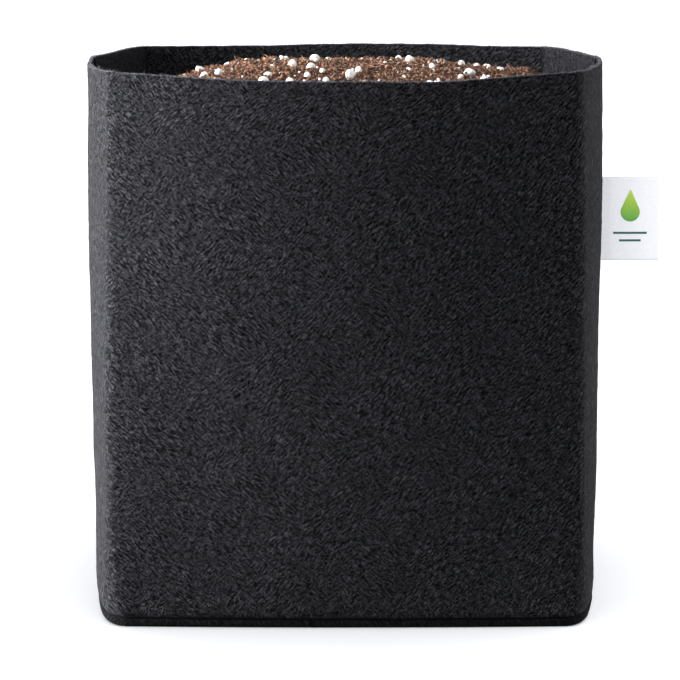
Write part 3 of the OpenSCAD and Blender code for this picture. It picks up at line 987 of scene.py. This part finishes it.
class GROWBAG_OT_label(bpy.types.Operator):
    """Folded satin ribbon caught in the right seam, with a generic printed drop and lines"""

    bl_idname = "growbag.label"
    bl_label = "Build Label"

    def execute(self, context):
        s = sizes()
        c = colours()
        offset = s.ribbon / 2 + RIBBON_GAP
        turn_x = LABEL_HIGH.x - offset - s.ribbon / 2
        out = np.linspace(TAIL_LOW.x, turn_x, 46)
        angle = np.linspace(-math.pi / 2, math.pi / 2, 9)[1:-1]
        # The two layers are pressed together in the seam, and part just outside it.
        spread_out = np.clip((out - HINGE_X) / (6 * MM), 0.25, 1)
        front = np.stack([out, -offset * spread_out], axis=-1)
        bend = np.stack([turn_x + offset * np.cos(angle), offset * np.sin(angle)], axis=-1)
        plan = np.concatenate([front, bend, front[::-1] * np.array([1, -1])])
        z = np.linspace(LABEL_LOW.z, LABEL_HIGH.z, 34)[:, None]
        x = plan[:, 0] + 0 * z
        y = plan[:, 1] + ribbon_lie(x, z)
        z = z + 0 * x
        satin = shared(woven_satin, "white_satin_ribbon", c.ribbon)
        uv = np.stack([arc_lengths(x, y), z], axis=-1)
        ribbon = make_sheet("label_ribbon_cloth", np.stack([x, y, z], axis=-1), s.ribbon, satin, uv)
        drop, lines = self.drop(c), self.lines(c)
        belongs(drop, "label", "drop_ink", "label_drop_print")
        belongs(lines, "label", "line_ink", "label_line_print")
        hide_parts("label_ribbon", "label_tail")
        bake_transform(ribbon)
        return {"FINISHED"}

    def film(self, name, x, z, material):
        """A thin closed film of ink, its back just sunk in the label's front face. x and z are
        grids whose rows rise."""
        y = ribbon_lie(x, z) - sizes().ribbon - RIBBON_GAP - INK_LIFT
        middle = np.stack([x, y, z], axis=-1)
        return make_sheet(name, middle, INK, material, np.stack([x, z], axis=-1))

    def drop(self, c):
        """A round foot, and two straight slants from where they touch it to the tip."""
        low, high = DROP_LOW, DROP_HIGH
        radius = (high.x - low.x) / 2
        centre_x, centre_z = (low.x + high.x) / 2, low.z + radius
        tip = high.z - centre_z
        touch = radius * radius / tip
        z = np.concatenate([
            centre_z - radius * np.cos(np.linspace(0.06, math.pi / 2, 22)),
            np.linspace(centre_z, high.z, 26)[1:],
        ])
        up = z - centre_z
        round_part = np.sqrt(np.maximum(radius**2 - up**2, 0))
        slant = (tip - up) * math.sqrt(radius**2 - touch**2) / (tip - touch)
        half = np.maximum(np.where(up < touch, round_part, slant), 0.03 * MM)
        x = centre_x + half[:, None] * np.linspace(-1, 1, 25)
        ink = printed_ink("green_ink", c.drop_dark, c.drop_light, low.z, high.z)
        return self.film("label_drop", x, z[:, None] + 0 * x, ink)

    def lines(self, c):
        """Two separate thin lines in one piece, the lower one shorter."""
        ink = printed_ink("dark_green_ink", c.line, c.line, LINE_LOW.z, LINE_HIGH.z)
        bar = 0.025 * (LABEL_HIGH.z - LABEL_LOW.z)
        centre_x, width = (LINE_LOW.x + LINE_HIGH.x) / 2, LINE_HIGH.x - LINE_LOW.x
        joined = bmesh.new()
        made = []
        for top, share in ((LINE_HIGH.z, 1.0), (LINE_LOW.z + bar, LOWER_LINE)):
            across = centre_x + width * share * np.linspace(-0.5, 0.5, 31)
            x, z = np.meshgrid(across, np.linspace(top - bar, top, 5))
            made.append(self.film("label_lines", x, z, ink))
            joined.from_mesh(made[-1].data)
        upper, lower = made
        joined.to_mesh(upper.data)
        joined.free()
        bpy.data.objects.remove(lower)
        return upper


class GROWBAG_OT_coir_block(bpy.types.Operator):
    """Block of coir mix that fills the bag, with a heaped crumbly top"""

    bl_idname = "growbag.coir_block"
    bl_label = "Build Coir Block"

    def execute(self, context):
        s = sizes()
        c = colours()
        gap = s.felt + MIX_GAP
        edge_z = RIM_Z - s.mix_drop
        # Slots clear the allowances in the side seams, and below a ledge the block is a plug that
        # clears the allowance in the base seam.
        slot_half, slot_deep = 4.6 * MM, s.allowance - s.felt + MIX_GAP
        ledge_z = FOOT_Z + s.felt + 1.2 * MM
        plug = s.allowance + 1.2 * MM
        side_rows = 88
        low = [MIX_LOW.z, MIX_LOW.z, MIX_LOW.z, ledge_z - 0.2 * MM, ledge_z]
        heights = np.concatenate([low, np.linspace(ledge_z + 1 * MM, edge_z, side_rows)])
        inset = np.array([60 * MM, 30 * MM, plug, plug, gap + 2 * MM] + [gap] * side_rows)
        shape_z = np.where(heights <= ledge_z, FOOT_Z, heights)
        inset = inset + s.foot_spread * (1 - rise(shape_z))
        halves = []
        for back in (False, True):
            x, y, _ = quarter_path(shape_z, inset, slot_half / 2, back)
            x, y = self.slotted(x, y, slot_deep, slot_half)
            halves.append((mirrored(x, -1), mirrored(y, 1)))
        (x, y), (back_x, back_y) = halves
        x = np.concatenate([x, back_x[:, ::-1]], axis=1)
        y = np.concatenate([y, -back_y[:, ::-1]], axis=1)
        sides = np.stack([x, y, heights[:, None] + 0 * x], axis=-1)
        out = grid_normals(sides, ring=True)
        pits = crumbs(sides, 3.5 * MM, 61) - 1 + 0.6 * (lumps(sides, 12 * MM, 62) - 1)
        pitted = slice(len(low), None)
        sides[pitted] += (out * (1.1 * MM * pits)[..., None])[pitted]

        # The top's rows run from the edge almost to the middle, each a share of the way out.
        shares = np.concatenate([[0.985], np.linspace(0.965, 0.02, 96)])[:, None]
        top_x, top_y = x[-1:] * shares, y[-1:] * shares
        top = np.stack([top_x, top_y, mound_height(top_x, top_y)], axis=-1)
        rough = 1.5 * crumbs(top, 4.2 * MM, 63) + 0.8 * crumbs(top, 1.9 * MM, 64) - 1.4
        top[..., 2] += MM * rough * np.clip((1 - shares) * 20, 0.2, 1)
        points = np.concatenate([sides, top])
        rows, cols = points.shape[:2]
        faces = grid_quads(rows, cols, ring=True).tolist()
        faces += [list(range(cols))[::-1], [(rows - 1) * cols + k for k in range(cols)]]
        coir = shared(packed_coir, "packed_coir", c.coir_wet_and_gap_shade, c.coir, c.coir_light)
        piece = make_piece("coir_block", points, faces, coir)
        belongs(piece, "fill", "coir_mix", "growing_mix")
        return {"FINISHED"}

    def slotted(self, x, y, deep, half):
        """Turns the end of each path in, so that the seam allowances have a slot to stand in."""
        flap = FLAP_COLUMNS
        x, y = x.copy(), y.copy()
        x[:, -flap:] = x[:, -flap - 1 : -flap] - np.linspace(0.3, 1, flap)[None] * deep
        y[:, -flap - 1 :] = -half
        return x, y


def scattered(draw, count, reach):
    """Random places on the mound, seen from above, within reach of the way to the walls."""
    angle = draw.uniform(-math.pi, math.pi, count)
    distance = reach * np.sqrt(draw.uniform(0, 1, count)) * mix_reach(angle)
    return distance * np.sin(angle), distance * np.cos(angle)


def keep_off_seams(x, y):
    """True where a place is clear of the allowances that stand in at both side seams."""
    return (np.abs(x) < WALL_HIGH.x - 17 * MM) | (np.abs(y) > 7 * MM)


# The clump of husk at the right of the heap: the middle and the spread of its strands, and of
# the chips among them, across and in depth.
HUSK_STRANDS = ((104 * MM, 36 * MM), (8 * MM, 12 * MM))
HUSK_CHIPS = ((106 * MM, 40 * MM), (8 * MM, 16 * MM))


class GROWBAG_OT_perlite(bpy.types.Operator):
    """Grains of white perlite, half sunk in the mix"""

    bl_idname = "growbag.perlite"
    bl_label = "Build Perlite"

    def execute(self, context):
        draw = np.random.default_rng(101)
        c = colours()
        material = shared(expanded_perlite, "expanded_perlite", c.perlite, c.perlite_dust)
        # For each size of grain: how many, from which radius to which, and how finely divided.
        large = ("large", 100, 1.6, 3.3, 3, ["perlite_grains"])
        small = ("small", 480, 0.35, 1.2, 2, [])
        for name, count, low, high, rounds, nodes in (large, small):
            x, y = scattered(draw, count, 0.93)
            radius = (low + (high - low) * draw.uniform(0, 1, count) ** 1.3) * MM
            # The large grains leave the clump of husk free.
            kept = keep_off_seams(x, y) & ((radius < 1.2 * MM) | (x < 95 * MM))
            x, y, radius = x[kept], y[kept], radius[kept]
            z = mound_height(x, y) + radius * 0.45
            shape = radius[:, None] * draw.uniform(0.68, 1.12, (len(x), 3))
            piece = make_lumps(f"perlite_{name}", np.stack([x, y, z], -1), shape, material, rounds, 0.2, 3)
            belongs(piece, "fill", "perlite", *nodes)
        return {"FINISHED"}


# Stiff fibres that stand out of the heap, in metres: place across, then how far the tip lies to
# the side of the foot and above it, and how far the middle bends to the side.
UPRIGHT_FIBRES = (
    (-0.0625, -0.0029, 0.0055, -0.002),
    (-0.041, -0.0035, 0.0036, -0.001),
    (0.062, 0.0065, 0.0038, -0.001),
    (-0.1, -0.0165, 0.0036, 0.0),
    (0.1175, 0.0, 0.0064, 0.001),
)


class GROWBAG_OT_loose_coir(bpy.types.Operator):
    """Loose crumbs, stiff fibres and husk chips on top of the mix"""

    bl_idname = "growbag.loose_coir"
    bl_label = "Build Loose Coir"

    def execute(self, context):
        draw = np.random.default_rng(202)
        x, y = scattered(draw, 8000, 0.95)
        kept = keep_off_seams(x, y)
        x, y = x[kept], y[kept]
        size = (0.35 + 0.9 * draw.uniform(0, 1, (len(x), 1)) ** 2) * MM
        shape = size * draw.uniform(0.5, 1.3, (len(x), 3))
        z = mound_height(x, y) + draw.uniform(-0.2, 1.8, len(x)) * MM
        shade = draw.uniform(0.1, 0.85, len(x))
        places = np.stack([x, y, z], -1)
        crumb = make_lumps("coir_crumbs", places, shape, self.coir(), 1, 0.35, 9, shade)
        belongs(crumb, "fill", "coir_mix")

        x, y = scattered(draw, 6000, 0.9)
        self.fibres(draw, "coir_short_fibres", x, y, (1.5, 5), (0.12, 0.28), 0.5)
        x, y = scattered(draw, 60, 0.72)
        self.fibres(draw, "coir_long_fibres", x, y, (4, 13), (0.12, 0.22), 0.6, nodes=["coir_fibres"])
        middle, spread = np.array(HUSK_STRANDS)[..., None]
        x, y = middle + spread * draw.normal(0, 1, (2, 420))
        self.fibres(draw, "coir_husk_strands", x, y, (3, 8), (0.15, 0.35), 0.1, (0, 0.7))
        self.upright()

        x, y = scattered(draw, 130, 0.85)
        middle, spread = np.array(HUSK_CHIPS)
        clump = middle + spread * draw.normal(0, 1, (90, 2))
        x, y = np.concatenate([x, clump[:, 0]]), np.concatenate([y, clump[:, 1]])
        kept = keep_off_seams(x, y)
        x, y = x[kept], y[kept]
        size = draw.uniform(0.8, 2.6, len(x)) * MM
        shape = [size, size * draw.uniform(0.3, 0.6, len(x)), size * draw.uniform(0.15, 0.3, len(x))]
        shade = draw.uniform(0.2, 0.8, len(x))
        places = np.stack([x, y, mound_height(x, y) + 0.9 * MM], -1)
        chips = make_lumps("coir_husk_chips", places, np.stack(shape, -1), self.coir(), 2, 0.25, 12, shade)
        belongs(chips, "fill", "husk", "husk_chips")
        return {"FINISHED"}

    def coir(self):
        c = colours()
        return shared(loose_coir, "loose_coir", c.coir_wet_and_gap_shade, c.coir, c.coir_light)

    def upright(self):
        """The few stiff fibres that stand clear of the heap."""
        paths = []
        for x, side, up, bend in UPRIGHT_FIBRES:
            foot = np.array([x, HEAP_Y, mound_height(x, HEAP_Y) - 1 * MM])
            stops = np.linspace(0, 1, 7)
            paths.append([foot + np.array([side * t + bend * t * (1 - t), 0, up * t]) for t in stops])
        shade = np.full(len(paths), 0.8)
        stray = make_strands("coir_upright_fibres", paths, 0.22 * MM, self.coir(), shade=shade)
        belongs(stray, "fill", "coir_fibre")

    def fibres(self, draw, name, x, y, lengths, radii, stand, shades=(0.15, 1), nodes=()):
        """Curved fibres rooted in the mix. lengths and radii are in millimetres, and stand is
        how steeply they may stick out."""
        kept = keep_off_seams(x, y) & (np.abs(x) < 125 * MM)
        x, y = x[kept], y[kept]
        count = len(x)
        root = np.stack([x, y, mound_height(x, y) + 0.9 * MM], axis=-1)
        turn = draw.uniform(0, 2 * math.pi, count)
        steep = draw.uniform(0, stand, count)
        along = np.stack([np.cos(turn), np.sin(turn), steep], axis=-1)
        curl = draw.normal(0, 0.45, (count, 3))
        size = draw.uniform(*lengths, (count, 1)) * MM
        stops = (-0.3, -0.05, 0.2, 0.45, 0.7)
        paths = np.stack([root + unit(along) * size * t + curl * size * t * t for t in stops], axis=1)
        radius = draw.uniform(*radii, count) * MM
        shade = draw.uniform(*shades, count)
        piece = make_strands(name, paths, radius, self.coir(), shade=shade)
        belongs(piece, "fill", "coir_fibre", *nodes)


# The camera stands in front of the bag, well back with a long lens, and looks a little down.
CAMERA_PLACE = (-0.003, -1.607, 0.398)
CAMERA_DOWN = 9.13
CAMERA_LENS = 146.7
# Each softbox: its bearing from the front towards the right and its height above the horizon in
# degrees, its distance, its size, and its power in watts.
SOFTBOXES = {
    "key_left": (-79, 6, 1.05, (0.5, 0.9), 165),
    "rim_right": (110, 0, 1.2, (0.5, 0.25), 15),
    "top_soft": (-30, 62, 1.2, (0.8, 0.8), 2.5),
}
# The height that the softboxes are turned to, and the colour and strength of the sky.
LIT_Z = 0.15
SKY = (0.97, 0.98, 1.02, 1)
SKY_STRENGTH = 1.55


class GROWBAG_OT_stage(bpy.types.Operator):
    """Camera, pale floor and soft studio lights"""

    bl_idname = "growbag.stage"
    bl_label = "Build Stage"

    def execute(self, context):
        scene = context.scene
        camera = bpy.data.cameras.new("camera")
        camera.lens = CAMERA_LENS
        camera.sensor_width = 36
        camera.clip_end = 50
        view = bpy.data.objects.new("camera", camera)
        view.location = CAMERA_PLACE
        view.rotation_euler = (math.radians(90 - CAMERA_DOWN), 0, 0)
        scene.collection.objects.link(view)
        scene.camera = view

        half = 12.0
        corners = [(-half, -half, 0), (half, -half, 0), (half, half, 0), (-half, half, 0)]
        paper = studio_paper("white_paper", colours().paper)
        floor = make_piece("floor", corners, [[0, 1, 2, 3]], paper)
        for name, softbox in SOFTBOXES.items():
            self.softbox(name, floor, *softbox)

        world = bpy.data.worlds.new("studio")
        scene.world = world
        world.use_nodes = True
        tree = world.node_tree
        fill(tree, tree.nodes["Background"], {"Color": SKY, "Strength": SKY_STRENGTH})
        scene.view_settings.view_transform = "Standard"
        return {"FINISHED"}

    def softbox(self, name, floor, bearing, height, distance, size, power):
        """A softbox turned to the bag, that lights it and not the floor."""
        lamp = bpy.data.lights.new(name, "AREA")
        lamp.shape = "RECTANGLE"
        lamp.size, lamp.size_y = size
        lamp.energy = power
        turn, up = math.radians(bearing), math.radians(height)
        box = bpy.data.objects.new(name, lamp)
        box.location = (
            distance * math.cos(up) * math.sin(turn),
            -distance * math.cos(up) * math.cos(turn),
            LIT_Z + distance * math.sin(up),
        )
        box.rotation_euler = (math.pi / 2 - up, 0, turn)
        bpy.context.scene.collection.objects.link(box)
        unlit = bpy.data.collections.new(name + "_skips")
        unlit.objects.link(floor)
        box.light_linking.receiver_collection = unlit
        unlit.collection_objects[0].light_linking.link_state = "EXCLUDE"


class GROWBAG_PT_panel(bpy.types.Panel):
    """Buttons that build each part of the grow bag"""

    bl_idname = "GROWBAG_PT_panel"
    bl_label = "Grow Bag"
    bl_space_type = "VIEW_3D"
    bl_region_type = "UI"
    bl_category = "Grow Bag"

    def draw(self, context):
        layout = self.layout
        for operator in OPERATORS:
            layout.operator(operator.bl_idname)
        for group in (context.scene.grow_bag_sizes, context.scene.grow_bag_colours):
            box = layout.box()
            for name in group.bl_rna.properties.keys():
                if name not in ("rna_type", "name"):
                    box.prop(group, name)


OPERATORS = (
    GROWBAG_OT_stage,
    GROWBAG_OT_walls,
    GROWBAG_OT_base,
    GROWBAG_OT_surface_fibres,
    GROWBAG_OT_stitching,
    GROWBAG_OT_label,
    GROWBAG_OT_coir_block,
    GROWBAG_OT_perlite,
    GROWBAG_OT_loose_coir,
)
CLASSES = (GrowBagSizes, GrowBagColours, *OPERATORS, GROWBAG_PT_panel)


def register():
    for made in CLASSES:
        bpy.utils.register_class(made)
    bpy.types.Scene.grow_bag_sizes = bpy.props.PointerProperty(type=GrowBagSizes)
    bpy.types.Scene.grow_bag_colours = bpy.props.PointerProperty(type=GrowBagColours)


def unregister():
    del bpy.types.Scene.grow_bag_sizes
    del bpy.types.Scene.grow_bag_colours
    for made in reversed(CLASSES):
        bpy.utils.unregister_class(made)


def main():
    register()
    for operator in OPERATORS:
        group, name = operator.bl_idname.split(".")
        getattr(getattr(bpy.ops, group), name)()


if __name__ == "__main__":
    main()
